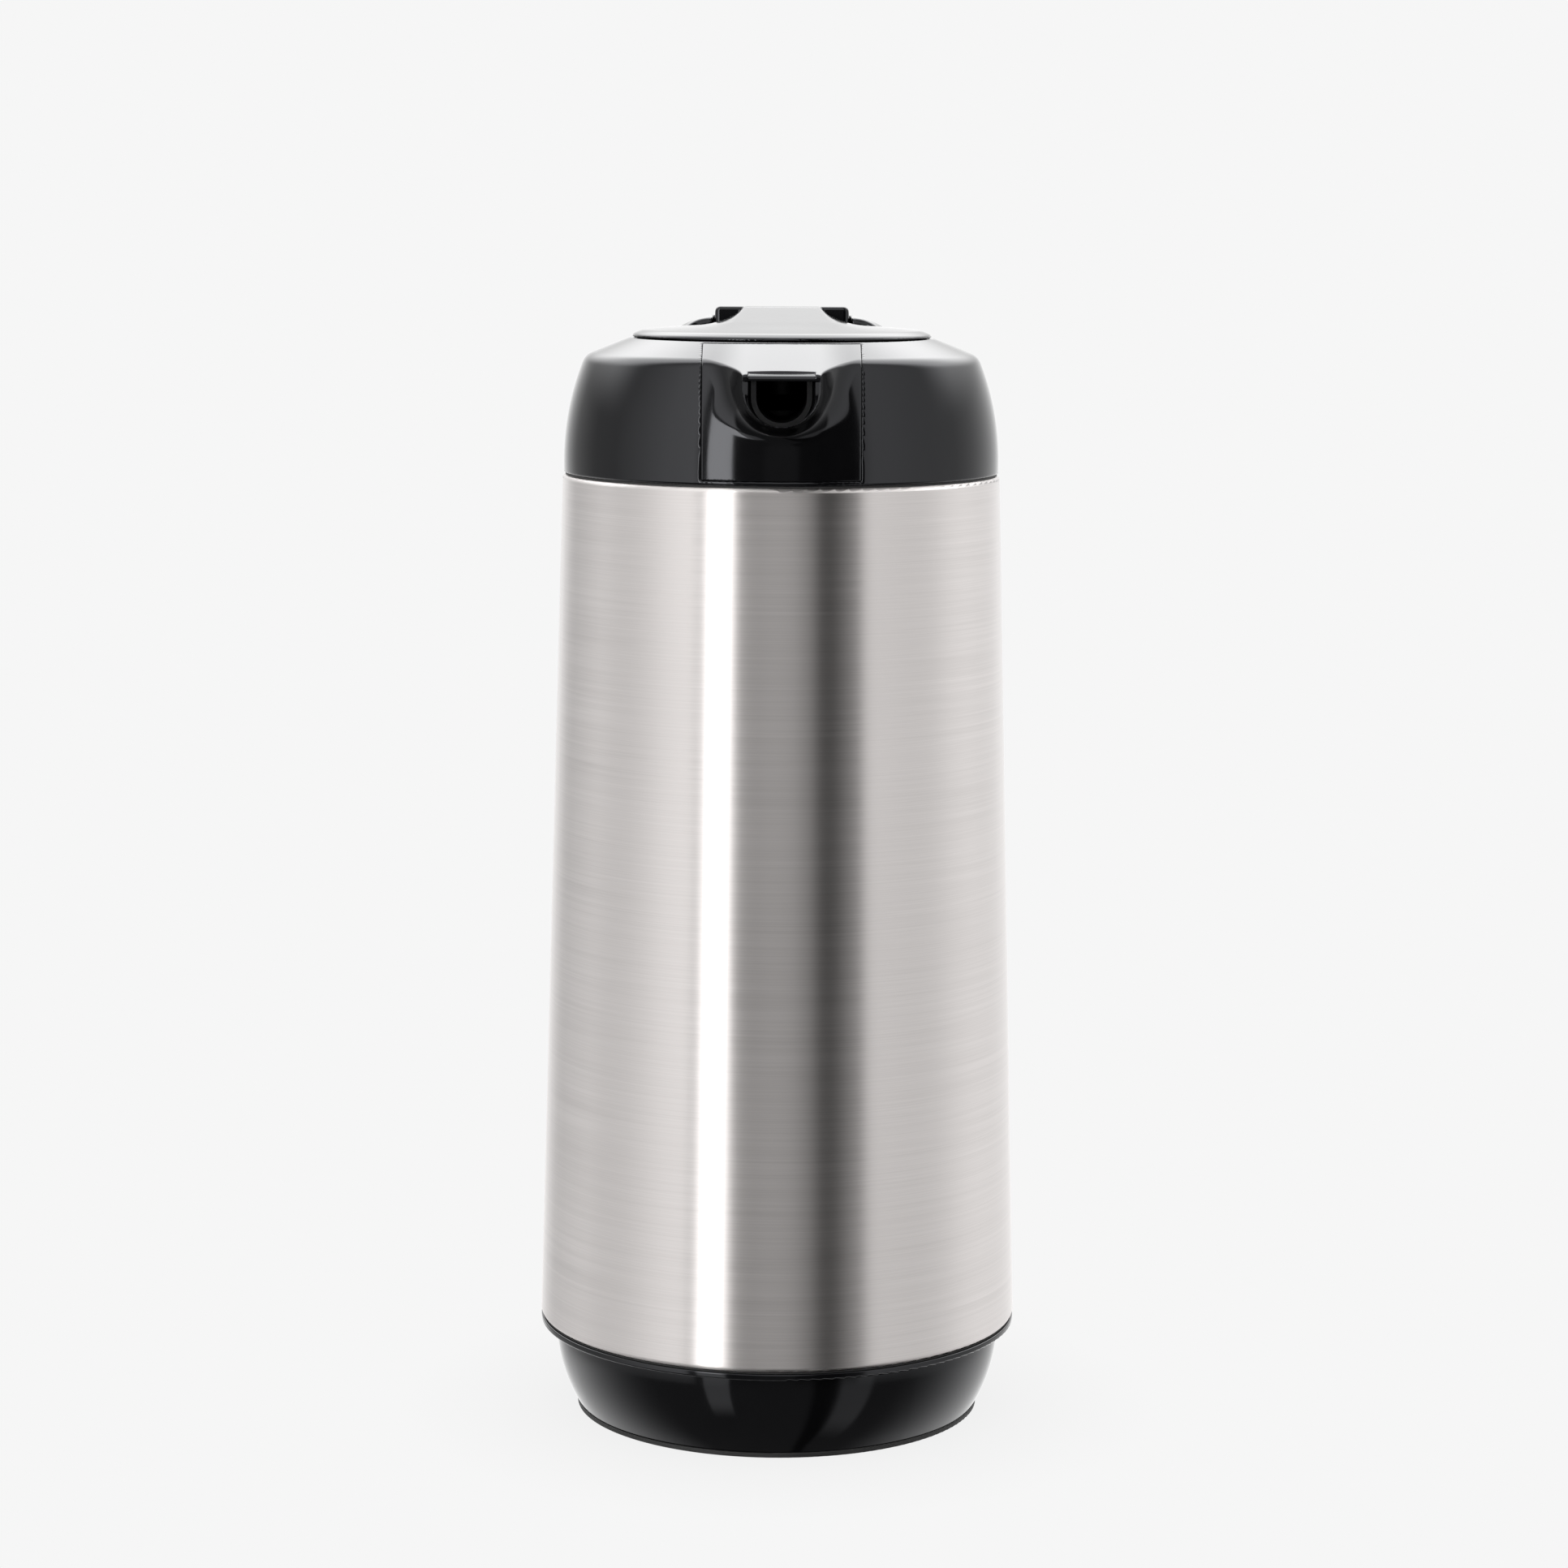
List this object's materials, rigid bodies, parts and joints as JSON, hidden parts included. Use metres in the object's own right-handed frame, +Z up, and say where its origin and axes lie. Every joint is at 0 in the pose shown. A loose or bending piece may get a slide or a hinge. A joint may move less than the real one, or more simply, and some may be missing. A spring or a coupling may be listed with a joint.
{
  "type": "vacuum jug",
  "caption": "Tapered brushed-steel vacuum jug with a gloss black collar, front pouring spout, hinged push-down lid with stopper, rear handle, base and glass liner.",
  "frame": {"origin": "centre of the foot ring's underside, on the table", "axes": "+Z up along the jug's axis, spout towards -Y, handle towards +Y, +X on the right of someone who looks at the spout"},
  "size_m": [0.14, 0.193, 0.3224],
  "materials": {
    "brushed_stainless": "fine horizontal brushing",
    "black_gloss": "glossy black ABS",
    "black_matte": "satin black polypropylene",
    "natural_pp": "dark grey polypropylene",
    "silicone": "grey food-grade silicone",
    "black_rubber": "matt black rubber",
    "silvered_glass": "silvered inside the sealed gap",
    "stainless_screw": "plain stainless fasteners",
    "spring_steel": "stainless spring wire"
  },
  "bodies": {
    "jug": {"outer_shell": "brushed_stainless", "collar": "black_gloss", "spout": "black_gloss", "pour_funnel": "black_matte", "collar_gasket": "black_rubber", "upper_clamp_ring": "natural_pp", "upper_clamp_screws": "stainless_screw", "neck_gasket": "silicone", "glass_liner": "silvered_glass", "liner_cushion": "black_rubber", "lower_clamp_ring": "natural_pp", "base_gasket": "black_rubber", "base": "black_gloss", "base_screws": "stainless_screw", "bottom_cap": "black_matte", "foot_ring": "black_rubber", "hinge_pin": "stainless_screw", "lid_spring": "spring_steel", "handle": "black_gloss", "handle_cover": "black_matte", "handle_cover_screws": "stainless_screw", "handle_upper_screws": "stainless_screw", "handle_backing_plate": "stainless_screw", "handle_lower_screws": "stainless_screw"},
    "lid": {"lid_cover": "black_gloss", "lid_inner": "black_matte", "lid_gasket": "silicone", "lid_screws": "stainless_screw", "stopper": "black_matte", "stopper_gasket": "silicone", "stopper_screw": "stainless_screw"}
  },
  "joints": [
    {"name": "lid_hinge", "type": "hinge", "parent": "jug", "child": "lid", "pos_m": [0, 0.048, 0.313], "axis": [-1, 0, 0], "range_deg": [0, 70], "stiffness_Nm_per_rad": 0.05}
  ]
}
